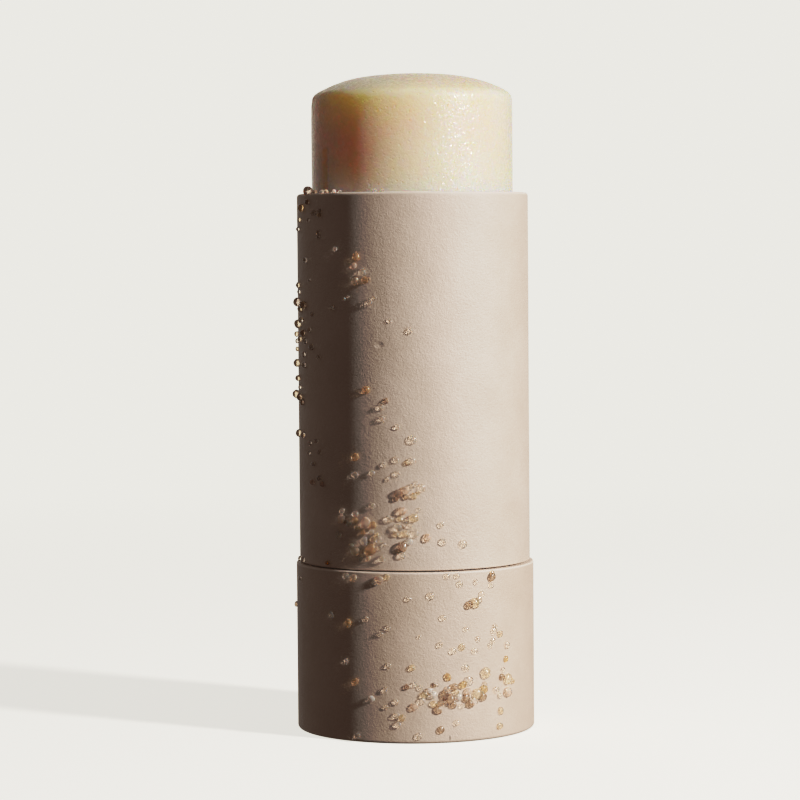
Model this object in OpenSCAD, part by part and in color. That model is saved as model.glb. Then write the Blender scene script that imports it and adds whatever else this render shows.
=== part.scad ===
// Twist-up balm stick in a paper tube, wound part of the way out.
// The origin is the middle of the foot, +Z runs up the axis of the tube.
// Turning the base sleeve anticlockwise, seen from above, lifts the balm.

/* [Neck sleeve] */
// Outer diameter of the long paper sleeve
neck_d = 33; // [28:0.5:42]
// Length of the long paper sleeve, from the seam to the rim
neck_len = 52.4; // [46:0.1:70]
// Wall of the long paper sleeve
neck_wall = 1.1; // [0.8:0.05:1.6]
// Rounding of the outer edge of the rim
rim_round = 0.45; // [0.1:0.05:0.5]

/* [Base sleeve] */
// Height of the short paper sleeve
base_h = 23.8; // [19:0.1:35]
// Wall of the short paper sleeve
base_wall = 1.3; // [0.8:0.05:2]
// Open seam between the two sleeves
seam_gap = 0.2; // [0.1:0.05:0.5]
// Play between the barrel and the bore of the short sleeve
turn_gap = 0.35; // [0.2:0.05:0.8]
// Rounding of the outer edge of the foot
foot_round = 0.4; // [0.1:0.05:0.6]
// Thickness of the board disc in the foot
disc_t = 1.2; // [0.8:0.1:2]
// How far the board disc is set up into the foot
disc_recess = 0.8; // [0.4:0.1:2]

/* [Barrel] */
// Wall of the moulded barrel
barrel_wall = 0.85; // [0.7:0.05:1.2]
// Thickness of the barrel's floor
barrel_floor = 1.4; // [1:0.1:2]
// How far the barrel's lip stays under the paper rim
lip_setback = 0.25; // [0.1:0.05:1]
// Height of the two guide ribs inside the barrel
rib_h = 0.4; // [0.3:0.05:0.8]
// Width of the guide ribs
rib_w = 1; // [0.6:0.1:2]
// Distance from the rim down to the top of the guide ribs
rib_setback = 11.9; // [8:0.1:20]
// Angle round the axis of the first guide rib
rib_angle = 212; // [0:1:359]

/* [Screw] */
// Outer diameter of the screw thread
screw_d = 7; // [6:0.1:9]
// Depth of the thread
thread_depth = 1; // [0.6:0.05:1.2]
// Rise of the balm for one turn of the base
lead = 4; // [3.5:0.25:6]
// Width of the thread ridge at its root
ridge_root_w = 1.8; // [1.4:0.1:2]
// Width of the thread ridge at its crest
ridge_crest_w = 1; // [0.6:0.1:1.3]
// Clearance between the screw thread and the nut thread
thread_gap = 0.25; // [0.15:0.05:0.4]
// Distance from the rim down to the tip of the screw
tip_setback = 9; // [7:0.5:14]
// Thickness of the collar above the barrel's floor
collar_t = 1.1; // [0.8:0.1:2]

/* [Dial] */
// Thickness of the dial's floor
dial_floor = 1.4; // [1:0.1:2]
// Wall of the dial's cup
dial_wall = 0.8; // [0.6:0.05:1.2]
// Height of the hub above the dial's floor
dial_hub_h = 4.45; // [3.5:0.05:7]
// Wall of the hub round the screw's drive
dial_hub_wall = 1.2; // [0.9:0.1:2]
// How far the cup's wall reaches up round the barrel's plug
plug_cover = 3; // [2:0.1:5]
// Number of webs between the hub and the cup
web_count = 6; // [4:1:8]

/* [Platform] */
// Thickness of the plate that carries the balm
plate_t = 1.5; // [1:0.1:2.5]
// Height of the skirt that wipes the barrel, plate included
skirt_h = 3; // [2:0.1:5]
// Wall of the skirt
skirt_wall = 1.2; // [0.9:0.1:2]
// Length of the threaded hub below the plate
hub_below = 5.5; // [4:0.1:8]
// Length of the threaded hub above the plate
hub_above = 5; // [3:0.1:8]
// Wall of the threaded hub outside the thread
hub_wall = 2.25; // [1.5:0.05:3]
// Number of fins that hold the balm
fin_count = 4; // [3:1:6]
// Height of the fins above the plate
fin_h = 4; // [2.5:0.1:5]
// Thickness of the fins and of the webs
fin_t = 1.2; // [0.8:0.1:2]
// Bare edge of the plate outside the fins
fin_inset = 3.9; // [3:0.1:5]

/* [Balm] */
// How far the balm has been wound up from its stored place
raise = 18; // [0:0.5:28]
// Gap between the balm and the barrel
balm_gap = 0.15; // [0.1:0.05:0.3]
// Distance of the crown below the rim when the balm is stored
crown_setback = 1.05; // [0.5:0.05:3]
// Height of the crown if it ran on to the balm's side
crown_h = 3.05; // [2:0.05:5]
// Flatness of the crown: 2 is a bowl shape, more is flatter in the middle
crown_power = 3; // [2:0.05:4]
// Distance of the soft ridge in from the balm's side
ridge_inset = 0.8; // [0.5:0.05:2]

/* [Fits] */
// Glue line between a paper sleeve and what it is glued on
glue_gap = 0.05; // [0.02:0.01:0.1]
// Radial clearance of the moulded pieces that turn or slide in each other
run_gap = 0.1; // [0.05:0.01:0.15]
// Clearance where one moulded piece is pushed into another
push_gap = 0.03; // [0.01:0.01:0.08]
// End play of the screw in the barrel's floor
end_play = 0.15; // [0.1:0.05:0.3]

/* [Hidden] */
paper = [0.80, 0.73, 0.66];
board = [0.72, 0.66, 0.57];
plastic = [0.93, 0.92, 0.89];
wax = [0.91, 0.85, 0.72];
$fn = 96;
arc_steps = 5;
ridge_steps = 20;
crown_steps = 14;
small_round = 0.15;
bury = 0.3;

// Radii, from the outside in, and out again to the base sleeve
neck_r = neck_d / 2;
neck_bore_r = neck_r - neck_wall;
barrel_r = neck_bore_r - glue_gap;
bore_r = barrel_r - barrel_wall;
balm_r = bore_r - balm_gap;
base_bore_r = barrel_r + turn_gap;
base_r = base_bore_r + base_wall;
dial_r = base_bore_r - glue_gap;
dial_bore_r = dial_r - dial_wall;
plug_r = dial_bore_r - run_gap;
plug_bore_r = plug_r - barrel_wall;

// Heights of the two sleeves
neck_z = base_h + seam_gap;
rim_z = neck_z + neck_len;

// Heights of the foot, the dial and the barrel's floor
dial_z = disc_recess + disc_t;
dial_floor_top = dial_z + dial_floor;
shank_z = dial_floor_top + dial_hub_h;
floor_z = shank_z + end_play;
floor_top = floor_z + barrel_floor;
collar_z = floor_top + end_play;
collar_top = collar_z + collar_t;
dial_top = floor_z + plug_cover;
plug_top = dial_top + 2 * end_play;
bore_z = plug_top + 1;

// Screw
screw_r = screw_d / 2;
core_r = screw_r - thread_depth;
shank_r = screw_r + 0.7;
collar_r = shank_r + 1.2;
floor_hole_r = shank_r + run_gap;
screw_top = rim_z - tip_setback;
tip_h = 0.8;
tip_r = core_r - 0.4;
rod_top = screw_top - tip_h;
drive_w = shank_r * sqrt(2) - 0.95;
slit_w = 1;
barb = 0.45;
barb_recess = 1.2;

// Dial
dial_hub_r = shank_r + dial_hub_wall;
web_h = dial_hub_h - 1;

// Platform, at the height where the photographed balm stands
low_gap = 0.3;
lowest_z = collar_top + low_gap;
platform_z = lowest_z + raise;
plate_z = platform_z + hub_below;
plate_top = plate_z + plate_t;
skirt_z = plate_top - skirt_h;
hub_top = plate_top + hub_above;
plate_r = bore_r - run_gap;
nut_r = screw_r + thread_gap;
hub_r = nut_r + hub_wall;
fin_r = plate_r - fin_inset;
fin_hole_r = 1;
rib_gap = 0.15;
rib_top = rim_z - rib_setback;

// Balm
apex_z = rim_z - crown_setback + raise;
ridge_r = balm_r - ridge_inset;
balm_bore_r = screw_r + 0.3;
balm_bore_top = screw_top + raise + 0.5;
cast_gap = 0.03;

// Height of the crown's surface at a radius
function crown_z(r) = apex_z - crown_h * pow(r / balm_r, crown_power);

// Points along an arc in the plane of a turned profile
function arc(x, z, r, from, to, steps = arc_steps) =
    [for (i = [0:steps]) let (a = from + (to - from) * i / steps) [x + r * cos(a), z + r * sin(a)]];

// A tube with its four edges rounded
module tube(inner, outer, low, high, low_round, high_round, inner_round = small_round) {
    rotate_extrude()
        polygon(concat(
            arc(inner + inner_round, low + inner_round, inner_round, 180, 270),
            arc(outer - low_round, low + low_round, low_round, 270, 360),
            arc(outer - high_round, high - high_round, high_round, 0, 90),
            arc(inner + inner_round, high - inner_round, inner_round, 90, 180)
        ));
}

// A rod with a left-hand thread, whose ridge winds clockwise as it rises. Grown by a gap, it is the tap
// that cuts the nut, and the two are in mesh because both ridges cross the X axis at whole leads.
// Each ring of the ridge holds four points: its lower root, lower crest, upper crest and upper root.
module threaded_rod(low, high, ridge_low, ridge_high, gap = 0) {
    root_w = ridge_root_w + 2 * gap;
    crest_w = ridge_crest_w + 2 * gap;
    first = ceil((ridge_low + root_w / 2) / lead * ridge_steps);
    count = floor((ridge_high - root_w / 2) / lead * ridge_steps) - first;
    profile = [
        [core_r + gap, -root_w / 2],
        [screw_r + gap, -crest_w / 2],
        [screw_r + gap, crest_w / 2],
        [core_r + gap, root_w / 2]
    ];
    function spin(i) = -360 * (first + i) / ridge_steps;
    function at(i, r, z) = [r * cos(spin(i)), r * sin(spin(i)), z];
    function foot(i) = 4 * (count + 1) + i % ridge_steps;
    function head(i) = foot(i) + ridge_steps;
    function under(i) = 4 * i;
    function over(i) = 4 * i + 3;

    points = concat(
        [for (i = [0:count], p = profile) at(i, p[0], lead * (first + i) / ridge_steps + p[1])],
        [for (z = [low, high], i = [0:ridge_steps - 1]) at(i, core_r + gap, z)]
    );
    ridge = [
        for (i = [0:count - 1], k = [0:2])
            let (a = 4 * i + k)
            each [[a, a + 4, a + 5], [a, a + 5, a + 1]]
    ];
    groove = [
        for (i = [0:count - ridge_steps - 1])
            let (j = i + ridge_steps)
            [over(i), over(i + 1), under(j + 1), under(j)]
    ];
    below = [for (i = [0:ridge_steps - 2]) [foot(i), foot(i + 1), under(i + 1), under(i)]];
    above = [for (i = [count - ridge_steps + 1:count - 1]) [over(i), over(i + 1), head(i + 1), head(i)]];
    start_side = [foot(ridge_steps - 1), foot(0), under(0), over(0), under(ridge_steps), under(ridge_steps - 1)];
    turn_back = count - ridge_steps;
    end_side = [
        over(turn_back + 1), head(turn_back + 1), head(count), over(count), under(count), over(turn_back)
    ];
    ends = [
        [0, 1, 2, 3],
        [over(count), under(count) + 2, under(count) + 1, under(count)],
        [for (i = [ridge_steps - 1:-1:0]) foot(i)],
        [for (i = [0:ridge_steps - 1]) head(i)]
    ];
    polyhedron(points, concat(ridge, groove, below, above, [start_side, end_side], ends), convexity = 10);
}

// Bars that run out from the axis, evenly spaced
module spokes(count, r_in, r_out, width, low, high, start = 0) {
    for (i = [0:count - 1])
        rotate(start + i * 360 / count)
            translate([r_in, -width / 2, low])
                cube([r_out - r_in, width, high - low]);
}

// Two upright bars at the guide ribs, opposite each other
module at_ribs(r_in, r_out, width, low, high) {
    spokes(2, r_in, r_out, width, low, high, start = rib_angle);
}

module neck_sleeve() {
    color(paper)
        tube(neck_bore_r, neck_r, neck_z, rim_z, small_round, rim_round);
}

module base_sleeve() {
    color(paper)
        tube(base_bore_r, base_r, 0, base_h, foot_round, small_round);
}

module base_disc() {
    color(board)
        translate([0, 0, disc_recess])
            cylinder(r = base_bore_r - glue_gap, h = disc_t);
}

module barrel() {
    color(plastic) {
        rotate_extrude()
            polygon([
                [floor_hole_r, floor_z],
                [plug_r - small_round, floor_z],
                [plug_r, floor_z + small_round],
                [plug_r, plug_top],
                [barrel_r, plug_top],
                [barrel_r, rim_z - lip_setback],
                [bore_r, rim_z - lip_setback],
                [bore_r, bore_z],
                [plug_bore_r, plug_top],
                [plug_bore_r, floor_top],
                [floor_hole_r, floor_top]
            ]);
        at_ribs(bore_r - rib_h, bore_r + bury, rib_w, plug_top + small_round, rib_top);
    }
}

module dial() {
    color(plastic)
        difference() {
            union() {
                rotate_extrude()
                    polygon([
                        [0, dial_z],
                        [dial_r, dial_z],
                        [dial_r, dial_top],
                        [dial_bore_r + small_round, dial_top],
                        [dial_bore_r, dial_top - small_round],
                        [dial_bore_r, dial_floor_top],
                        [dial_hub_r, dial_floor_top],
                        [dial_hub_r, shank_z],
                        [0, shank_z]
                    ]);
                spokes(
                    web_count, dial_hub_r - bury, dial_bore_r + bury, fin_t,
                    dial_floor_top - bury, dial_floor_top + web_h
                );
            }
            translate([0, 0, (dial_z + shank_z) / 2])
                cube([drive_w + 2 * push_gap, drive_w + 2 * push_gap, 2 * shank_z], center = true);
            translate([0, 0, dial_z - bury])
                cylinder(r = shank_r, h = barb_recess + bury);
        }
}

// The square drive at the screw's foot, split so that its two barbs snap through the dial
module snap_drive() {
    foot_z = dial_z + small_round;
    barb_top = dial_z + barb_recess - push_gap;
    difference() {
        union() {
            translate([-drive_w / 2, -drive_w / 2, foot_z])
                cube([drive_w, drive_w, shank_z + bury - foot_z]);
            rotate([90, 0, 0])
                linear_extrude(drive_w, center = true)
                    polygon([
                        [-drive_w / 2 + barb, foot_z],
                        [drive_w / 2 - barb, foot_z],
                        [drive_w / 2 + barb, barb_top],
                        [-drive_w / 2 - barb, barb_top]
                    ]);
        }
        translate([-slit_w / 2, -drive_w, dial_z - bury])
            cube([slit_w, 2 * drive_w, shank_z - dial_z]);
    }
}

module spindle() {
    color(plastic) {
        rotate_extrude()
            polygon([
                [0, shank_z],
                [shank_r, shank_z],
                [shank_r, collar_z],
                [collar_r, collar_z],
                [collar_r, collar_top - small_round],
                [collar_r - small_round, collar_top],
                [0, collar_top]
            ]);
        threaded_rod(collar_z, rod_top, collar_top, rod_top - tip_h);
        translate([0, 0, rod_top - bury])
            cylinder(r1 = tip_r, r2 = tip_r - small_round, h = tip_h + bury);
        snap_drive();
    }
}

// The hub, the fins and the plate's top side, grown by a gap to cut their shape in the balm
module anchor(gap) {
    translate([0, 0, plate_top - bury])
        cylinder(r = hub_r + gap, h = hub_above + bury + gap);
    difference() {
        spokes(fin_count, 0, fin_r + gap, fin_t + 2 * gap, plate_top - bury, plate_top + fin_h + gap);
        for (i = [0:fin_count - 1])
            rotate(i * 360 / fin_count)
                translate([(hub_r + fin_r) / 2, 0, plate_top + fin_h / 2])
                    rotate([90, 0, 0])
                        cylinder(r = fin_hole_r - gap, h = 2 * fin_t, center = true);
    }
}

module platform() {
    color(plastic) {
        difference() {
            union() {
                rotate_extrude()
                    polygon([
                        [0, platform_z],
                        [hub_r, platform_z],
                        [hub_r, plate_z],
                        [plate_r - skirt_wall, plate_z],
                        [plate_r - skirt_wall, skirt_z],
                        [plate_r - small_round, skirt_z],
                        [plate_r, skirt_z + small_round],
                        [plate_r, plate_top],
                        [0, plate_top]
                    ]);
                spokes(
                    web_count, hub_r - bury, plate_r - skirt_wall + bury, fin_t,
                    skirt_z, plate_z + bury, start = rib_angle
                );
                anchor(0);
            }
            threaded_rod(platform_z - 1, hub_top + 1, platform_z - lead, hub_top + lead, thread_gap);
            at_ribs(bore_r - rib_h - rib_gap, bore_r + 1, rib_w + 2 * rib_gap, skirt_z - 1, plate_top + 1);
        }
    }
}

// The balm's side, its shoulder and its crown; the shoulder's arc runs on smoothly from the crown
module balm_outline() {
    slope = crown_h * crown_power * pow(ridge_r / balm_r, crown_power - 1) / balm_r;
    tilt = 90 - atan(slope);
    shoulder = ridge_inset / (1 - cos(tilt));
    shoulder_z = crown_z(ridge_r) - shoulder * sin(tilt);
    crown = [for (i = [crown_steps - 1:-1:0]) let (r = ridge_r * i / crown_steps) [r, crown_z(r)]];
    polygon(concat(
        [[0, plate_top], [balm_r, plate_top]],
        arc(balm_r - shoulder, shoulder_z, shoulder, 0, tilt),
        crown
    ));
}

module balm() {
    color(wax)
        difference() {
            rotate_extrude()
                balm_outline();
            translate([0, 0, plate_top - bury])
                cylinder(r = balm_bore_r, h = balm_bore_top - plate_top + bury);
            anchor(cast_gap);
            at_ribs(bore_r - rib_h - rib_gap, bore_r + 1, rib_w + 2 * rib_gap, plate_top - 1, rib_top + raise);
        }
}

neck_sleeve();
base_sleeve();
base_disc();
barrel();
dial();
spindle();
platform();
balm();
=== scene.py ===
"""Looks of the twist-up balm stick: wax, paper, mouldings, and the sand that sticks to the paper."""

import math
import random

import bmesh
import bpy
from mathutils import Matrix, Vector, noise


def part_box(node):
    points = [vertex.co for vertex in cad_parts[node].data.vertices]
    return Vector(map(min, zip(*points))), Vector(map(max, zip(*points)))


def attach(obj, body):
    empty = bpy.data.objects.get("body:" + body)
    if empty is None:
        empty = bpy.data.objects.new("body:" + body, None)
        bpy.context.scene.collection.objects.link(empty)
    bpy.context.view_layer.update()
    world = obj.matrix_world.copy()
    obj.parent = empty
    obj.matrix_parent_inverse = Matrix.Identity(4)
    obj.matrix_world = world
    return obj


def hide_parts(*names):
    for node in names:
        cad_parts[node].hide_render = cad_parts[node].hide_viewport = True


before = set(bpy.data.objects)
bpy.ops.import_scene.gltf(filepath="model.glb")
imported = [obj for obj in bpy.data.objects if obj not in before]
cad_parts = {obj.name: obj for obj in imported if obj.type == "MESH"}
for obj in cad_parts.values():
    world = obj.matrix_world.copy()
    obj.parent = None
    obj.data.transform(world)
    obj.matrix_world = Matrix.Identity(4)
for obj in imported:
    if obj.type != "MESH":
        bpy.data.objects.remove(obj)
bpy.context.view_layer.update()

MM = 0.001

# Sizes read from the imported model, in millimetres
neck_low, neck_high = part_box("neck_sleeve")
base_low, base_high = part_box("base_sleeve")
balm_low, balm_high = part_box("balm")
neck_r = neck_high.x / MM
neck_z = neck_low.z / MM
rim_z = neck_high.z / MM
base_r = base_high.x / MM
base_top = base_high.z / MM
balm_r = balm_high.x / MM
balm_z = balm_low.z / MM
apex_z = balm_high.z / MM

# Camera

CAMERA_AT = (0.0, -418.27, 67.55)
CAMERA_TILT = 2.83
CAMERA_PAN = 0.271
CAMERA_ROLL = -0.447
CAMERA_LENS = 131.36
SENSOR = 36
PHOTO_SIDE = 800
FOCAL_PX = PHOTO_SIDE * CAMERA_LENS / SENSOR

camera_turn = (
    Matrix.Rotation(math.radians(CAMERA_PAN), 4, "Z")
    @ Matrix.Rotation(math.radians(90 - CAMERA_TILT), 4, "X")
    @ Matrix.Rotation(math.radians(CAMERA_ROLL), 4, "Z")
)
camera_data = bpy.data.cameras.new("camera")
camera_data.lens = CAMERA_LENS
camera_data.sensor_width = SENSOR
camera = bpy.data.objects.new("camera", camera_data)
bpy.context.scene.collection.objects.link(camera)
camera.matrix_world = Matrix.Translation(Vector(CAMERA_AT) * MM) @ camera_turn
bpy.context.scene.camera = camera


def seen_on_tube(x, y, radius):
    """Where the line of sight through a pixel of the photograph meets a tube round the Z axis.

    Gives the point in millimetres and its depth from the camera. A line that passes the tube by
    gives the tube's nearest point to it.
    """
    eye = Vector(CAMERA_AT)
    half = PHOTO_SIDE / 2
    ray = camera_turn.to_3x3() @ Vector(((x - half) / FOCAL_PX, (half - y) / FOCAL_PX, -1))
    across = ray.xy.length
    middle = -eye.xy.dot(ray.xy) / across ** 2
    passing = (eye + ray * middle).xy
    inside = radius ** 2 - passing.length_squared
    depth = middle - math.sqrt(max(inside, 0)) / across
    point = eye + ray * depth
    if inside < 0:
        point.xy = passing * (radius / passing.length)
    return point, depth


# The camera's response: contrast in the shadows and a long soft shoulder in the lights
RESPONSE = (
    (0.0, 0.0), (0.05, 0.040), (0.10, 0.075), (0.15, 0.111), (0.22, 0.182), (0.3, 0.262),
    (0.45, 0.395), (0.6, 0.50), (0.8, 0.61), (1.0, 0.69), (1.25, 0.75), (1.6, 0.82), (2.2, 0.90),
)


def set_response():
    view = bpy.context.scene.view_settings
    view.view_transform = "Standard"
    view.look = "None"
    view.use_curve_mapping = True
    mapping = view.curve_mapping
    mapping.clip_max_x = RESPONSE[-1][0]
    points = mapping.curves[3].points
    while len(points) < len(RESPONSE):
        points.new(1.0, 1.0)
    for point, place in zip(points, RESPONSE):
        point.location = place
    mapping.update()


set_response()


# Node helpers

class Nodes:
    """Short calls for building one material's or the world's node tree."""

    def __init__(self, owner):
        owner.use_nodes = True
        self.tree = owner.node_tree
        self.tree.nodes.clear()

    def put(self, socket, value):
        """Links an output to a socket, or sets the socket's own value."""
        if isinstance(value, bpy.types.NodeSocket):
            self.tree.links.new(value, socket)
        else:
            socket.default_value = value

    def add(self, kind, values=None, **settings):
        node = self.tree.nodes.new(kind)
        for name, value in settings.items():
            setattr(node, name, value)
        for name, value in (values or {}).items():
            self.put(node.inputs[name], value)
        return node

    def scaled(self, x, y=None, z=None):
        """Object coordinates in units of x, y and z millimetres."""
        y = y or x
        z = z or x
        place = self.add("ShaderNodeTexCoord").outputs["Object"]
        sizes = tuple(1 / (MM * size) for size in (x, y, z))
        return self.add("ShaderNodeMapping", {"Vector": place, "Scale": sizes}).outputs[0]

    def height(self):
        """Height above the foot, in metres."""
        place = self.add("ShaderNodeTexCoord").outputs["Object"]
        return self.add("ShaderNodeSeparateXYZ", {"Vector": place}).outputs["Z"]

    def noise(self, size, detail=2.0, roughness=0.5, distortion=0.0, stretch=(1, 1, 1)):
        """Noise whose features are about size millimetres across."""
        values = {
            "Vector": self.scaled(*(size * s for s in stretch)),
            "Scale": 1.0, "Detail": detail, "Roughness": roughness, "Distortion": distortion,
        }
        return self.add("ShaderNodeTexNoise", values).outputs["Fac"]

    def levels(self, factor, low, high, to_low=0.0, to_high=1.0):
        values = {"Value": factor, "From Min": low, "From Max": high, "To Min": to_low, "To Max": to_high}
        return self.add("ShaderNodeMapRange", values).outputs["Result"]

    def math(self, operation, a, b=0.0):
        node = self.add("ShaderNodeMath", operation=operation)
        for socket, value in zip(node.inputs, (a, b)):
            self.put(socket, value)
        return node.outputs[0]

    def mix(self, factor, a, b, blend="MIX"):
        node = self.add("ShaderNodeMix", {"Factor": factor}, data_type="RGBA", blend_type=blend)
        for name, value in (("A", a), ("B", b)):
            socket = next(s for s in node.inputs if s.name == name and s.type == "RGBA")
            self.put(socket, value if isinstance(value, bpy.types.NodeSocket) else (*value, 1))
        return next(s for s in node.outputs if s.type == "RGBA")

    def bump(self, height, depth, normal=None):
        """Relief of a 0 to 1 height that is depth millimetres deep."""
        values = {"Height": height, "Strength": 1.0, "Distance": depth * MM}
        if normal:
            values["Normal"] = normal
        return self.add("ShaderNodeBump", values).outputs["Normal"]

    def spot(self, centre, sizes, soft=0.5):
        """1 inside an ellipsoid round a point in millimetres, with a soft edge, and 0 outside it."""
        place = self.add("ShaderNodeTexCoord").outputs["Object"]
        centre = tuple(c * MM for c in centre)
        away = self.add("ShaderNodeVectorMath", {0: place, 1: centre}, operation="SUBTRACT").outputs[0]
        sizes = tuple(1 / (MM * size) for size in sizes)
        away = self.add("ShaderNodeVectorMath", {0: away, 1: sizes}, operation="MULTIPLY").outputs[0]
        reach = self.add("ShaderNodeVectorMath", {0: away}, operation="LENGTH").outputs["Value"]
        return self.levels(reach, 1.0, 1.0 - soft)

    def finish(self, colour, roughness, normal, lets_light=0.0, coat_normal=None, **constants):
        """The surface, with lets_light as the share of the lamps' light that passes straight through.

        The constants are the shader's own sockets, with their names in lower case.
        """
        shader = self.add("ShaderNodeBsdfPrincipled")
        for name, value in (("Base Color", colour), ("Roughness", roughness), ("Normal", normal)):
            self.put(shader.inputs[name], value)
        for name, value in constants.items():
            shader.inputs[name.replace("_", " ").title().replace("Ior", "IOR")].default_value = value
        if coat_normal:
            self.tree.links.new(coat_normal, shader.inputs["Coat Normal"])
        surface = shader.outputs[0]
        if lets_light:
            from_lamp = self.add("ShaderNodeLightPath").outputs["Is Shadow Ray"]
            share = self.math("MULTIPLY", from_lamp, lets_light)
            clear = self.add("ShaderNodeBsdfTransparent").outputs[0]
            surface = self.add("ShaderNodeMixShader", {0: share, 1: surface, 2: clear}).outputs[0]
        self.add("ShaderNodeOutputMaterial", {"Surface": surface})


def material(name):
    made = bpy.data.materials.new(name)
    return made, Nodes(made)


# Stage and light

BACKDROP = (1.62, 1.57, 1.38)
FILL = (0.077, 0.053, 0.0455)
# How much of the backdrop a reflection shows
GLANCE_SHARE = 0.55
FLOOR_R = 3.0
FLOOR_FADE_FROM = 0.12
FLOOR_FADE_TO = 0.42
FLOOR_GLOW = 0.71
FLOOR_TONE = (0.62, 0.61, 0.585)
# How far the floor lies under the foot, in millimetres
FLOOR_DROP = 0.02
# Height on the stick that the lights are aimed at, in millimetres
AIM_Z = 50


def make_stage():
    mesh = bpy.data.meshes.new("floor")
    shape = bmesh.new()
    bmesh.ops.create_circle(shape, cap_ends=True, segments=64, radius=FLOOR_R)
    shape.to_mesh(mesh)
    shape.free()
    floor = bpy.data.objects.new("floor", mesh)
    floor.location.z = -FLOOR_DROP * MM
    bpy.context.scene.collection.objects.link(floor)
    made, n = material("pale_floor")
    place = n.add("ShaderNodeTexCoord").outputs["Object"]
    away = n.add("ShaderNodeVectorMath", {0: place}, operation="LENGTH").outputs["Value"]
    far = n.levels(away, FLOOR_FADE_FROM, FLOOR_FADE_TO)
    lit = n.add("ShaderNodeBsdfDiffuse", {"Color": (*FLOOR_TONE, 1)})
    glow = n.add("ShaderNodeEmission", {"Color": (*BACKDROP, 1), "Strength": FLOOR_GLOW})
    near_floor = n.add("ShaderNodeAddShader", {0: lit.outputs[0], 1: glow.outputs[0]})
    far_floor = n.add("ShaderNodeEmission", {"Color": (*BACKDROP, 1), "Strength": 1.0})
    both = n.add("ShaderNodeMixShader", {0: far, 1: near_floor.outputs[0], 2: far_floor.outputs[0]})
    n.add("ShaderNodeOutputMaterial", {"Surface": both.outputs[0]})
    mesh.materials.append(made)
    floor.visible_diffuse = False
    floor.visible_glossy = False
    floor.visible_transmission = False
    floor.visible_volume_scatter = False


def make_world():
    """A dim warm fill, and a pale backdrop behind the stick.

    The backdrop shows past the stick, through a clear grain and in a glancing reflection.
    """
    world = bpy.data.worlds.new("studio")
    bpy.context.scene.world = world
    n = Nodes(world)
    path = n.add("ShaderNodeLightPath").outputs
    away = n.add("ShaderNodeTexCoord").outputs["Generated"]
    depth = n.add("ShaderNodeSeparateXYZ", {"Vector": away}).outputs["Y"]
    glance = n.math("MULTIPLY", path["Is Glossy Ray"], GLANCE_SHARE)
    turned = n.math("MAXIMUM", path["Is Transmission Ray"], glance)
    turned = n.math("MULTIPLY", turned, n.levels(depth, 0.80, 0.96))
    seen = n.math("MAXIMUM", path["Is Camera Ray"], turned)
    fill = n.add("ShaderNodeBackground", {"Color": (*FILL, 1), "Strength": 1.0})
    backdrop = n.add("ShaderNodeBackground", {"Color": (*BACKDROP, 1), "Strength": 1.0})
    both = n.add("ShaderNodeMixShader", {0: seen, 1: fill.outputs[0], 2: backdrop.outputs[0]})
    n.add("ShaderNodeOutputWorld", {"Surface": both.outputs[0]})


def soft_light(name, azimuth, height_angle, width, strength, colour, distance=1.4):
    """A round studio light; azimuth is measured from the camera's side towards the photograph's right."""
    data = bpy.data.lights.new(name, "AREA")
    data.shape = "DISK"
    data.size = 2 * distance * math.tan(math.radians(width / 2))
    data.color = colour
    # The power that gives a sheet facing the light a brightness of strength times its own colour
    data.energy = strength * math.pi * math.pi * distance * distance
    light = bpy.data.objects.new(name, data)
    bpy.context.scene.collection.objects.link(light)
    a, e = math.radians(azimuth), math.radians(height_angle)
    towards = Vector((math.sin(a) * math.cos(e), -math.cos(a) * math.cos(e), math.sin(e)))
    light.location = Vector((0, 0, AIM_Z * MM)) + towards * distance
    light.rotation_euler = towards.to_track_quat("Z", "Y").to_euler()
    return light


make_stage()
make_world()
soft_light(
    "key_light", azimuth=57.3, height_angle=21.5, width=5, strength=2.0, colour=(1.0, 0.99, 0.975),
    distance=0.8,
)
back_light = soft_light(
    "back_light", azimuth=215, height_angle=13, width=100, strength=0.52, colour=(1.0, 0.89, 0.78),
)
# The back light only lifts the left edge: it gives the wax no sheen there
back_light.visible_glossy = False


# Materials

# Marks in the paper, at the pixel that shows each, with half sizes in millimetres
DENT_AT = seen_on_tube(379, 345, neck_r)[0]
DENT_SIZE = (0.8, 0.8, 0.5)
NICK_AT = seen_on_tube(450, 738, base_r)[0]
NICK_SIZE = (0.10, 0.4, 0.45)
# Width of the paler band along a sleeve's cut edge
CUT_EDGE = 0.32
PAPER_TONES = (0.572, 0.446, 0.352), (0.634, 0.498, 0.401)
# Painted shade that darkens the felt's pits
PAINTED_PIT_SHADE = (0.38, 0.27, 0.20)
FIBRE_TONE = (0.78, 0.66, 0.56)
CUT_TONE = (0.86, 0.74, 0.64)
# Painted shade of the nick: a near-black line with no relief under it
NICK_PAINTED_SHADE = (0.10, 0.07, 0.05)
# Sizes and relief of the felt, in millimetres
MOTTLE_SIZE = 8
FELT_SIZE = 0.36
FIBRE_SIZE = 0.20
FELT_RELIEF = 0.072
MOTTLE_RELIEF = 0.12
DENT_DEPTH = 0.10


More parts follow.
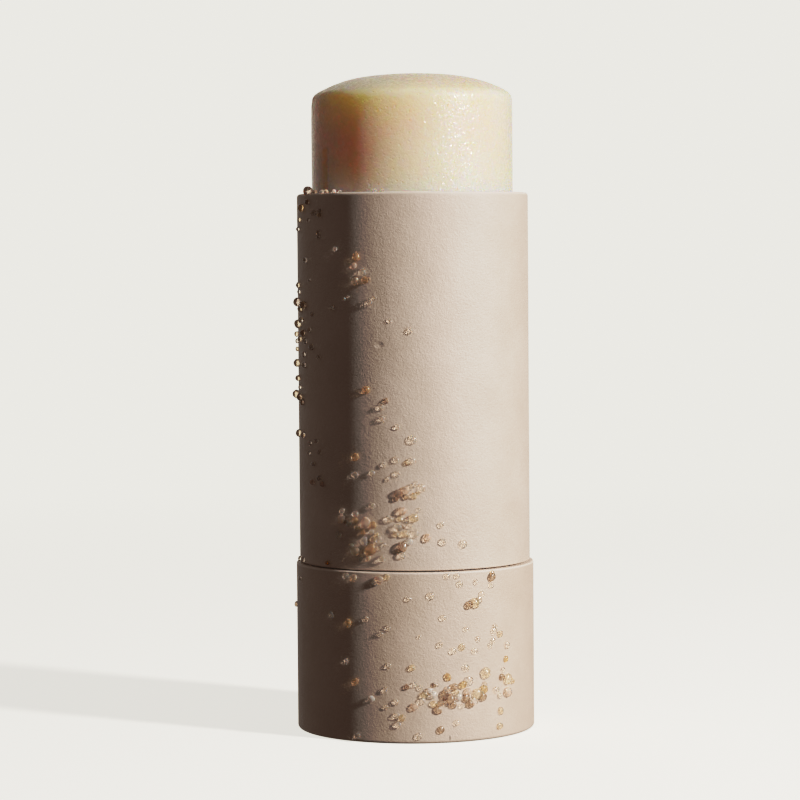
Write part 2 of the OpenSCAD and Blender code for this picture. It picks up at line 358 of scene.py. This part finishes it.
def paper_material(name, cut_z, wash):
    """Uncoated felt paper: matted fibres, soft pits with painted shade in them, small marks, and a paler
    cut edge at a height.

    The wash is the colour that tints the whole sleeve.
    """
    made, n = material(name)
    mottle = n.noise(MOTTLE_SIZE, detail=3, roughness=0.6)
    felt = n.noise(FELT_SIZE, detail=4, roughness=0.72)
    lying = n.noise(FIBRE_SIZE, detail=2, distortion=0.6, stretch=(2.6, 2.6, 0.7))
    standing = n.noise(FIBRE_SIZE, detail=2, distortion=0.6, stretch=(0.7, 0.7, 2.6))
    fibre = n.math("MAXIMUM", lying, standing)
    tone = n.mix(n.levels(mottle, 0.35, 0.65), *PAPER_TONES)
    # Painted shade: the felt's pits, the low places of its relief, are darkened
    tone = n.mix(n.levels(felt, 0.45, 0.28, 0.0, 0.20), tone, PAINTED_PIT_SHADE)
    tone = n.mix(n.levels(fibre, 0.58, 0.74, 0.0, 0.24), tone, FIBRE_TONE)
    height_mm = n.math("DIVIDE", n.height(), MM)
    cut = n.levels(height_mm, cut_z - CUT_EDGE, cut_z - CUT_EDGE / 2)
    tone = n.mix(n.math("MULTIPLY", cut, 0.6), tone, CUT_TONE)
    dent = n.spot(DENT_AT, DENT_SIZE, soft=0.9)
    # Painted shade: the nick is a dark painted line, not a cut in the surface
    nick_shade_mask = n.spot(NICK_AT, NICK_SIZE, soft=0.4)
    tone = n.mix(nick_shade_mask, tone, NICK_PAINTED_SHADE)
    tone = n.mix(1.0, tone, wash, "MULTIPLY")
    height = n.math("ADD", felt, n.math("MULTIPLY", fibre, 0.5))
    relief = n.bump(height, FELT_RELIEF)
    relief = n.bump(mottle, MOTTLE_RELIEF, relief)
    relief = n.bump(dent, -DENT_DEPTH, relief)
    n.finish(tone, 0.54, relief, ior=1.45, specular_ior_level=0.85)
    return made


def board_material():
    made, n = material("grey_board")
    mottle = n.noise(3, detail=4, roughness=0.65)
    fibre = n.noise(0.35, detail=3, stretch=(3, 1, 1))
    tone = n.mix(n.levels(mottle, 0.3, 0.7), (0.40, 0.33, 0.26), (0.52, 0.44, 0.36))
    tone = n.mix(n.levels(fibre, 0.62, 0.75, 0, 0.5), tone, (0.62, 0.56, 0.48))
    relief = n.bump(n.math("ADD", fibre, mottle), 0.05)
    n.finish(tone, 0.92, relief, ior=1.38, specular_ior_level=0.3)
    return made


def moulding_material():
    """Off-white polypropylene with flow mottle and a faint satin from the mould."""
    made, n = material("polypropylene")
    flow = n.noise(7, detail=2, distortion=0.8)
    satin = n.noise(0.22, detail=2)
    tone = n.mix(n.levels(flow, 0.3, 0.7), (0.80, 0.78, 0.72), (0.86, 0.84, 0.79))
    gloss = n.levels(satin, 0.3, 0.7, 0.36, 0.50)
    relief = n.bump(satin, 0.006)
    n.finish(
        tone, gloss, relief, ior=1.49, subsurface_weight=0.3,
        subsurface_radius=(1.0, 0.8, 0.6), subsurface_scale=MM,
    )
    return made


# The middle and half sizes of the shoulder with a painted glow, a golden tint that stands for light
# shining through the wax
PAINTED_GLOW_AT = seen_on_tube(348, 103, balm_r)[0]
PAINTED_GLOW_SIZE = (8.0, 8.0, 5.5)
PAINTED_GLOW_TONE = (0.995, 0.820, 0.480)
WAX_TONES = (0.935, 0.655, 0.440), (0.955, 0.700, 0.510)
PALE_FLECK = (0.98, 0.84, 0.70)
DEEP_FLECK = (0.84, 0.56, 0.34)
# How far red, green and blue light spread in the wax, in millimetres
WAX_SPREAD = (16.0, 7.6, 1.8)
# Spacing of the pin pores, size of the coat's dimples, and depths of the relief, in millimetres
PORE_SPACING = 0.75
DIMPLE_SIZE = 0.46
SKIN_RELIEF = 0.140
PORE_RELIEF = 0.070
CLOUD_RELIEF = 0.10
DIMPLE_RELIEF = 0.17


def wax_material():
    """Cream translucent wax: cloudy body, skin wrinkles, pin pores, and a painted glow on the left
    shoulder.
    """
    made, n = material("balm_wax")
    cloud = n.noise(6.5, detail=3, roughness=0.55, distortion=0.5)
    grain = n.noise(0.55, detail=3, roughness=0.6)
    skin = n.noise(0.50, detail=4, roughness=0.62, distortion=0.5)
    tone = n.mix(n.levels(cloud, 0.3, 0.7), *WAX_TONES)
    tone = n.mix(n.levels(grain, 0.55, 0.75, 0, 0.45), tone, PALE_FLECK)
    tone = n.mix(n.levels(grain, 0.42, 0.28, 0, 0.35), tone, DEEP_FLECK)
    # Painted glow: the left shoulder is tinted golden as if lit from within the wax
    painted_glow = n.spot(PAINTED_GLOW_AT, PAINTED_GLOW_SIZE, soft=1.0)
    tone = n.mix(painted_glow, tone, PAINTED_GLOW_TONE)
    gloss = n.levels(skin, 0.3, 0.7, 0.20, 0.34)
    place = n.scaled(PORE_SPACING)
    pores = n.add("ShaderNodeTexVoronoi", {"Vector": place, "Scale": 1.0}, feature="F1")
    pits = n.levels(pores.outputs["Distance"], 0.06, 0.26)
    relief = n.bump(skin, SKIN_RELIEF)
    relief = n.bump(pits, PORE_RELIEF, relief)
    relief = n.bump(cloud, CLOUD_RELIEF, relief)
    dimples = n.noise(DIMPLE_SIZE, detail=1, distortion=0.4)
    sparkle = n.bump(dimples, DIMPLE_RELIEF)
    n.finish(
        tone, gloss, relief, coat_normal=sparkle, ior=1.44, specular_ior_level=0.25,
        subsurface_weight=1.0, subsurface_radius=WAX_SPREAD, subsurface_scale=MM,
        coat_weight=0.55, coat_roughness=0.18, coat_ior=1.44,
    )
    return made


# How far red, green and blue light spread in a sand crystal, in millimetres
SAND_SPREAD = (0.25, 0.20, 0.16)


def grain_material(name, light, dark, glassy, lets_light):
    """Sand crystal: glass with a cloudy body, polished by the water it came from."""
    made, n = material(name)
    cloud = n.noise(0.6, detail=3, roughness=0.6)
    vein = n.noise(0.25, detail=2)
    tone = n.mix(n.levels(cloud, 0.35, 0.65), light, dark)
    relief = n.bump(vein, 0.012)
    n.finish(
        tone, n.levels(vein, 0.3, 0.7, 0.05, 0.18), relief, lets_light, ior=1.47,
        transmission_weight=glassy, subsurface_weight=1.0, subsurface_radius=SAND_SPREAD,
        subsurface_scale=MM,
    )
    return made


WAX = wax_material()
# The shades of sand, named by their place in this list
CLEAR, HONEY, ROSE, AMBER, BROWN, WHITE = range(6)
GRAINS = [
    grain_material("sand_clear", (0.90, 0.83, 0.75), (0.82, 0.72, 0.62), 0.88, 0.50),
    grain_material("sand_honey", (0.90, 0.76, 0.58), (0.82, 0.64, 0.44), 0.82, 0.45),
    grain_material("sand_rose", (0.90, 0.74, 0.62), (0.80, 0.60, 0.47), 0.72, 0.40),
    grain_material("sand_amber", (0.88, 0.64, 0.38), (0.72, 0.46, 0.24), 0.80, 0.40),
    grain_material("sand_brown", (0.66, 0.50, 0.38), (0.46, 0.32, 0.22), 0.72, 0.35),
    grain_material("sand_white", (0.84, 0.77, 0.69), (0.76, 0.68, 0.60), 0.60, 0.40),
]


def dress(node, surface):
    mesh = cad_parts[node].data
    mesh.materials.clear()
    mesh.materials.append(surface)


moulding = moulding_material()
for moulded in ("barrel", "dial", "spindle", "platform"):
    dress(moulded, moulding)
dress("base_disc", board_material())
dress("neck_sleeve", paper_material("neck_paper", rim_z, (1.0, 1.0, 1.0)))
dress("base_sleeve", paper_material("base_paper", base_top, (0.95, 0.93, 0.91)))


# Balm

BORE_R = 3.8
BORE_TOP = 85.9
HUB_R = 6.03
HUB_TOP = 40.98
GROOVE_ANGLES = (32, 212)
GROOVE_HALF = 0.65
GROOVE_DEPTH = 0.4
GROOVE_TOP = 82.5
RIDGE_INSET = 0.8
CROWN_H = 3.05
CROWN_POWER = 3
BALM_TURN = 288
# How much higher the poured crown stands at the photograph's right than in the middle
CROWN_TILT = 0.08
# The height over which the tilt grows from nothing to full
TILT_RISE = 5
# The rubbed part of the shoulder: its angle from the viewer, its middle height and its reach
WORN_ANGLE = -78
WORN_Z = 89.3
WORN_REACH = 3.4
# The lowest height with a hand-poured skin, and how far the skin may stand out
SKIN_FROM = 60
SKIN_OUT = 0.08
# The soft ridge round the crown: its height, its half width and the lowest height it is drawn at
RIDGE_H = 0.08
RIDGE_HALF = 0.28
RIDGE_FROM = 90
# Steps of the outline: coarse below the grooves' upper part, then fine, and counts for the curves
COARSE_STEP = 2.0
FINE_STEP = 0.30
FINE_BELOW = 12
SHOULDER_STEPS = 14
CROWN_STEPS = 46
FOOT_EDGE = 0.05
FOOT_RING_R = 10.0


def crown_height(r):
    return apex_z - CROWN_H * (r / balm_r) ** CROWN_POWER


def balm_profile():
    """The turned outline from the bore's lip, round the side and crown, and down inside the bore."""
    points = [
        (HUB_R, balm_z), (FOOT_RING_R, balm_z),
        (balm_r - FOOT_EDGE, balm_z), (balm_r, balm_z + FOOT_EDGE),
    ]
    ridge_r = balm_r - RIDGE_INSET
    slope = CROWN_H * CROWN_POWER * (ridge_r / balm_r) ** (CROWN_POWER - 1) / balm_r
    tilt = math.radians(90) - math.atan(slope)
    shoulder = RIDGE_INSET / (1 - math.cos(tilt))
    shoulder_z = crown_height(ridge_r) - shoulder * math.sin(tilt)
    z = balm_z
    while z < GROOVE_TOP - FINE_BELOW:
        z += COARSE_STEP
        points.append((balm_r, z))
    while z < shoulder_z - 0.4:
        z += FINE_STEP
        points.append((balm_r, z))
    for i in range(1, SHOULDER_STEPS + 1):
        a = tilt * i / SHOULDER_STEPS
        points.append((balm_r - shoulder + shoulder * math.cos(a), shoulder_z + shoulder * math.sin(a)))
    for i in range(1, CROWN_STEPS):
        r = ridge_r * (1 - i / CROWN_STEPS)
        points.append((r, crown_height(r)))
    outside = len(points)
    points.append((0, apex_z))
    inside = [(0, BORE_TOP), (BORE_R, BORE_TOP), (BORE_R, HUB_TOP), (HUB_R, HUB_TOP)]
    return points, outside, inside


def wear(x, y, z, r, angle):
    """How far the surface stands back at a point, in millimetres: rubbed shoulder and hand-poured skin."""
    place = Vector((x, y, z))
    back = 0.035 * noise.noise(place / 5.0) + 0.012 * noise.noise(place / 0.9)
    shoulder = max(0.0, 1 - abs(z - WORN_Z) / WORN_REACH)
    side = max(0.0, math.cos(math.radians(angle - WORN_ANGLE))) ** 3
    if shoulder > 0 and r > 0.5 * balm_r:
        rough = max(0.0, noise.noise(place / 1.1 + Vector((7, 3, 1))) + 0.25)
        fine = max(0.0, noise.noise(place / 0.42))
        back += shoulder * side * (0.20 * rough + 0.12 * fine)
    if z > RIDGE_FROM:
        back -= RIDGE_H * math.exp(-((r - (balm_r - RIDGE_INSET)) / RIDGE_HALF) ** 2)
    return max(back, -SKIN_OUT)


def make_balm():
    outline, outside, inside = balm_profile()
    mesh = bpy.data.meshes.new("balm_stick")
    shape = bmesh.new()
    angles = [360 * i / BALM_TURN for i in range(BALM_TURN)]
    rings = []

    def ring(r, z, worn):
        if r == 0:
            return [shape.verts.new((0, 0, z * MM))]
        row = []
        for angle in angles:
            a = math.radians(angle)
            reach = r
            if worn and z < GROOVE_TOP and r > balm_r - GROOVE_DEPTH:
                for groove in GROOVE_ANGLES:
                    off = abs((angle - groove + 180) % 360 - 180)
                    if math.radians(off) * balm_r < GROOVE_HALF:
                        reach = balm_r - GROOVE_DEPTH
            # The angle from the viewer: 0 faces the camera and 90 points to its right
            facing = (angle - 270 + 180) % 360 - 180
            height = z
            if worn and z > GROOVE_TOP:
                height += CROWN_TILT * min(1, (z - GROOVE_TOP) / TILT_RISE) * math.cos(a) * r / balm_r
            if worn and z > SKIN_FROM:
                back = wear(r * math.cos(a), r * math.sin(a), z, r, facing)
                if r >= balm_r - RIDGE_INSET:
                    reach -= max(back, 0)
                else:
                    height -= back
            row.append(shape.verts.new((reach * math.cos(a) * MM, reach * math.sin(a) * MM, height * MM)))
        return row

    for i, (r, z) in enumerate(outline):
        rings.append(ring(r, z, 0 < i < outside))
    tops = len(rings)
    for r, z in inside:
        rings.append(ring(r, z, False))

    def join(low, high):
        count = max(len(low), len(high))
        for i in range(count):
            j = (i + 1) % count
            corners = []
            for row, k in ((low, i), (low, j), (high, j), (high, i)):
                corner = row[k] if len(row) > 1 else row[0]
                if corner not in corners:
                    corners.append(corner)
            shape.faces.new(corners)

    for i in range(tops - 1):
        join(rings[i], rings[i + 1])
    for i in range(tops, len(rings) - 1):
        join(rings[i], rings[i + 1])
    join(rings[-1], rings[0])
    bmesh.ops.recalc_face_normals(shape, faces=shape.faces)
    for face in shape.faces:
        face.smooth = True
    shape.to_mesh(mesh)
    shape.free()
    mesh.materials.append(WAX)
    piece = bpy.data.objects.new("balm_stick", mesh)
    bpy.context.scene.collection.objects.link(piece)
    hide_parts("balm")
    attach(piece, "elevator")


make_balm()


# Sand that sticks to the paper

# Grains read off the photograph: pixels across and down, width in pixels, and shade
RIM_GRAINS = [
    (308, 193, 10, ROSE), (315, 190, 5, BROWN), (322, 193, 5, CLEAR), (326, 193, 5, HONEY),
    (334, 191, 4.5, WHITE), (340, 191, 3.5, CLEAR), (374, 189, 4, CLEAR), (382, 187, 4, CLEAR),
]
NECK_LEFT_EDGE = [
    (301, 208, 8.5, AMBER), (307, 202, 6, BROWN), (313, 213, 7, CLEAR), (319, 211, 6, CLEAR),
    (319, 215, 4.5, HONEY), (299, 220, 6, HONEY), (298, 229, 5, CLEAR), (308, 220, 4, CLEAR),
    (318, 232, 5, CLEAR), (318, 237, 5, CLEAR), (335, 249, 6, CLEAR), (305, 260, 7, CLEAR),
    (309, 280, 3.5, CLEAR), (298, 285, 6, HONEY), (299, 292, 5, CLEAR), (297, 302, 9, ROSE),
    (303, 305, 9, BROWN), (300, 309, 7, HONEY), (312, 314, 5, CLEAR), (301, 320, 7, CLEAR),
    (298, 324, 9.5, HONEY), (309, 330, 6, CLEAR), (294, 334, 6, HONEY), (303, 333, 7, BROWN),
    (300, 339, 7, HONEY), (305, 341, 6, CLEAR), (296, 341, 5, CLEAR), (311, 347, 7, CLEAR),
    (296, 349, 5, HONEY), (304, 354, 6, CLEAR), (318, 357, 5, CLEAR), (297, 363, 8.5, HONEY),
    (304, 365, 6, CLEAR), (298, 378, 6.5, HONEY), (300, 387, 5, CLEAR), (296, 394, 9, HONEY),
    (300, 397, 8, BROWN), (302, 402, 6, BROWN), (299, 433, 8, HONEY), (303, 435, 7, CLEAR),
    (310, 443, 5, CLEAR), (316, 441, 5, CLEAR), (319, 452, 5, CLEAR), (309, 453, 5, CLEAR),
    (313, 464, 5, WHITE), (319, 478, 6, CLEAR), (312, 482, 6, ROSE), (322, 484, 6, ROSE),
    (303, 563, 6, CLEAR), (327, 563, 5, AMBER), (300, 563, 5, CLEAR),
]
NECK_UPPER_GROUP = [
    (356, 257, 9.5, AMBER), (353, 266, 8, ROSE), (362, 272, 9, CLEAR), (355, 281, 8.5, HONEY),
    (365, 280, 8, AMBER), (368, 279, 5, BROWN),
]
NECK_SINGLES = [
    (344, 299, 3.5, WHITE), (348, 297, 3.5, CLEAR), (332, 308, 6, CLEAR), (369, 302, 8, CLEAR),
    (374, 298, 5, CLEAR), (389, 321, 5, CLEAR), (409, 331, 7, CLEAR), (366, 390, 8.5, AMBER),
    (381, 407, 7.5, CLEAR), (386, 401, 6, BROWN), (382, 419, 7.5, CLEAR), (397, 427, 6.5, CLEAR),
    (412, 440, 9.5, CLEAR), (355, 457, 9, AMBER), (396, 460, 7, CLEAR), (412, 461, 8, CLEAR),
    (407, 463, 6, HONEY), (384, 465, 5.5, CLEAR), (355, 475, 8.5, CLEAR), (372, 473, 6.5, CLEAR),
    (397, 474, 7, CLEAR), (388, 479, 5.5, CLEAR), (372, 506, 7, CLEAR), (441, 525, 7, CLEAR),
    (443, 542, 8, CLEAR), (463, 544, 9, CLEAR), (427, 538, 9, ROSE),
]
NECK_DRIFT = [
    (398, 494, 9.5, BROWN), (405, 491, 9.5, ROSE), (411, 487, 8, CLEAR), (416, 484, 6.5, CLEAR),
    (422, 488, 8.5, CLEAR), (414, 496, 7, HONEY), (342, 511, 7, CLEAR), (341, 519, 9.5, ROSE),
    (349, 524, 6.5, CLEAR), (355, 514, 8.5, CLEAR), (365, 523, 12.5, ROSE), (373, 525, 8, AMBER),
    (339, 535, 8.5, CLEAR), (364, 541, 10.5, CLEAR), (373, 539, 6.5, HONEY), (379, 540, 8, CLEAR),
    (355, 551, 11, HONEY), (370, 550, 12.5, AMBER), (376, 549, 7, ROSE), (368, 558, 7, HONEY),
    (382, 559, 8, CLEAR), (389, 519, 8.5, CLEAR), (402, 511, 9, ROSE), (400, 519, 6.5, HONEY),
    (414, 518, 10, HONEY), (419, 510, 5, CLEAR), (398, 528, 9.5, CLEAR), (405, 534, 8, HONEY),
    (415, 534, 9.5, CLEAR), (410, 526, 6.5, CLEAR), (402, 547, 11, BROWN), (409, 542, 8, WHITE),
    (402, 555, 8.5, CLEAR), (346, 522, 6, BROWN), (355, 520, 7, AMBER), (357, 527, 6, HONEY),
    (363, 532, 6, AMBER), (371, 532, 6, CLEAR), (377, 535, 5, HONEY), (380, 548, 5.5, CLEAR),
    (384, 545, 5, CLEAR), (369, 541, 5, BROWN), (363, 551, 6, BROWN), (361, 559, 6, CLEAR),
    (351, 546, 6, ROSE), (396, 499, 6, BROWN), (406, 497, 6, BROWN), (418, 493, 5, HONEY),
    (407, 520, 6, CLEAR), (396, 534, 6, HONEY), (403, 527, 5, BROWN), (399, 551, 6, BROWN),
]
BASE_TOP_EDGE = [
    (386, 571, 7, HONEY), (457, 570, 6.5, CLEAR), (346, 576, 8, CLEAR), (353, 578, 8.5, HONEY),
    (379, 580, 9.5, ROSE), (375, 583, 6.5, WHITE), (447, 575, 6.5, CLEAR), (460, 584, 7, CLEAR),
    (476, 582, 6, CLEAR), (492, 570, 6, HONEY), (492, 577, 9.5, BROWN), (491, 585, 6.5, CLEAR),
    (300, 578, 5, CLEAR), (296, 604, 6, BROWN),
]
BASE_SINGLES = [
    (431, 596, 8, CLEAR), (408, 599, 6.5, CLEAR), (331, 615, 8, CLEAR), (348, 623, 9.5, AMBER),
    (366, 619, 6, CLEAR), (388, 628, 6.5, CLEAR), (381, 634, 6, CLEAR), (419, 637, 4.5, CLEAR),
    (443, 618, 7, CLEAR), (466, 629, 6, CLEAR), (440, 645, 7, CLEAR), (462, 647, 8, HONEY),
    (453, 651, 7.5, CLEAR), (475, 651, 7.5, CLEAR), (478, 639, 6, CLEAR), (494, 631, 8, CLEAR),
    (495, 626, 6, CLEAR), (500, 634, 7.5, HONEY), (493, 641, 6.5, CLEAR), (490, 646, 6, CLEAR),
    (507, 645, 8, CLEAR), (506, 659, 7, AMBER), (346, 661, 6.5, CLEAR), (388, 666, 6.5, CLEAR),
    (412, 668, 7, HONEY), (466, 668, 8, CLEAR), (448, 677, 8.5, AMBER), (469, 681, 10, CLEAR),
    (486, 673, 12, HONEY), (503, 670, 6, CLEAR), (355, 682, 9, AMBER),
    (407, 687, 6.5, BROWN), (414, 685, 6.5, CLEAR), (420, 688, 6, CLEAR), (436, 685, 6, CLEAR),
    (385, 690, 6.5, CLEAR), (371, 699, 7.5, WHITE), (396, 702, 6.5, CLEAR), (386, 707, 5, CLEAR),
    (414, 707, 9, ROSE), (396, 716, 8, CLEAR), (402, 718, 7.5, HONEY), (398, 725, 7.5, CLEAR),
    (457, 723, 7.5, CLEAR), (441, 730, 8, BROWN), (419, 736, 8, CLEAR), (357, 736, 8, CLEAR),
]
BASE_DRIFT = [
    (469, 605, 9, BROWN), (475, 603, 11, HONEY), (479, 600, 8, CLEAR), (482, 594, 7, CLEAR),
    (422, 701, 8, CLEAR), (424, 695, 8, HONEY), (429, 691, 8, WHITE), (433, 695, 9, WHITE),
    (434, 704, 7.5, HONEY), (434, 685, 5, BROWN), (438, 710, 9, BROWN), (441, 703, 7, BROWN),
    (445, 695, 11, BROWN), (448, 690, 8, ROSE), (450, 699, 11, BROWN), (454, 687, 9, BROWN),
    (453, 705, 8, BROWN), (456, 692, 7, HONEY), (459, 697, 8, WHITE), (463, 685, 9, AMBER),
    (466, 698, 9, BROWN), (468, 692, 9, ROSE), (470, 704, 9, BROWN), (474, 701, 9, CLEAR),
    (478, 694, 12, HONEY), (484, 689, 9, AMBER), (483, 697, 9, BROWN), (485, 684, 6, CLEAR),
    (462, 706, 6.5, CLEAR), (446, 704, 6, CLEAR), (496, 690, 8, CLEAR), (500, 696, 6.5, CLEAR),
    (508, 692, 11, ROSE), (502, 677, 7, BROWN), (508, 679, 11, HONEY), (512, 681, 7, HONEY),
    (501, 711, 8, HONEY), (500, 726, 8, HONEY),
]

# How far a grain may stand off the neck and off the base, in millimetres
NECK_REACH = 1.3
BASE_REACH = 0.9
# The share of a grain's height that is pressed into the felt
GRAIN_SINK = 0.20
# Height of a grain as a share of its width, smallest and largest
FLAT = (0.42, 0.56)
HEAPED = (0.46, 0.62)
PLUMP = (0.68, 0.86)
# How far in from the neck's side a grain lies on the rim, and how much of its size lifts its middle
RIM_INSET = 0.4
RIM_LIFT = 0.25
# Length of a grain's shorter side as a share of its longer one, and the depths of its facets
BREADTH = (0.78, 0.98)
FACET = 0.13
SMALL_FACET = 0.03
# Where grains stop short of a sleeve's edge, and how far the topmost may pass the rim
EDGE_STOP = 0.1
RIM_PASS = 0.3
grain_seed = random.Random(41)


def add_grain(shape, pixel, radius, build, reach, low, high):
    """One sand grain on a tube of this radius, between two heights, where the photograph shows it."""
    x, y, wide, shade = pixel
    point, depth = seen_on_tube(x, y, radius)
    size = wide * depth / FOCAL_PX
    thick = size * grain_seed.uniform(*build)
    stand = min(thick * (0.5 - GRAIN_SINK), reach - thick / 2)
    point, depth = seen_on_tube(x, y, radius + stand)
    point.z = min(max(point.z, low + size / 2), high - size / 2)
    place_grain(shape, point, size, thick, shade)


def add_rim_grain(shape, pixel):
    """One sand grain that lies on the neck's upper edge."""
    x, y, wide, shade = pixel
    point, depth = seen_on_tube(x, y, neck_r - RIM_INSET)
    size = wide * depth / FOCAL_PX
    point.z = rim_z + RIM_LIFT * size
    place_grain(shape, point, size, size, shade)


def place_grain(shape, centre, size, thick, shade):
    """A rounded crystal that lies with its flat side on the tube."""
    out = Vector((centre.x, centre.y, 0)).normalized()
    side = Vector((0, 0, 1)).cross(out)
    lie = Matrix((side, Vector((0, 0, 1)), out)).transposed()
    lie = lie @ Matrix.Rotation(grain_seed.uniform(0, math.tau), 3, "Z")
    halves = Vector((size, size * grain_seed.uniform(*BREADTH), thick)) / 2
    phase = Vector([grain_seed.uniform(-50, 50) for _ in range(3)])
    made = bmesh.ops.create_icosphere(shape, subdivisions=3, radius=1.0)
    for vert in made["verts"]:
        p = vert.co
        facet = 1 + FACET * noise.noise(p * 1.2 + phase) + SMALL_FACET * noise.noise(p * 3.1 + phase)
        local = Vector((p.x * halves.x, p.y * halves.y, p.z * halves.z)) * facet
        vert.co = (centre + lie @ local) * MM
    for face in {f for v in made["verts"] for f in v.link_faces}:
        face.material_index = shade
        face.smooth = True


def finish_grains(shape, name, body):
    mesh = bpy.data.meshes.new(name)
    shape.to_mesh(mesh)
    shape.free()
    for surface in GRAINS:
        mesh.materials.append(surface)
    piece = bpy.data.objects.new(name, mesh)
    bpy.context.scene.collection.objects.link(piece)
    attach(piece, body)


def make_grains():
    shape = bmesh.new()
    drift = NECK_UPPER_GROUP + NECK_DRIFT
    for build, pixels in ((PLUMP, NECK_LEFT_EDGE), (HEAPED, drift), (FLAT, NECK_SINGLES)):
        for pixel in pixels:
            add_grain(shape, pixel, neck_r, build, NECK_REACH, neck_z + EDGE_STOP, rim_z + RIM_PASS)
    for pixel in RIM_GRAINS:
        add_rim_grain(shape, pixel)
    finish_grains(shape, "neck_sand", "barrel")
    shape = bmesh.new()
    for build, pixels in ((HEAPED, BASE_DRIFT), (FLAT, BASE_TOP_EDGE + BASE_SINGLES)):
        for pixel in pixels:
            add_grain(shape, pixel, base_r, build, BASE_REACH, EDGE_STOP, base_top - EDGE_STOP)
    finish_grains(shape, "base_sand", "base")


make_grains()
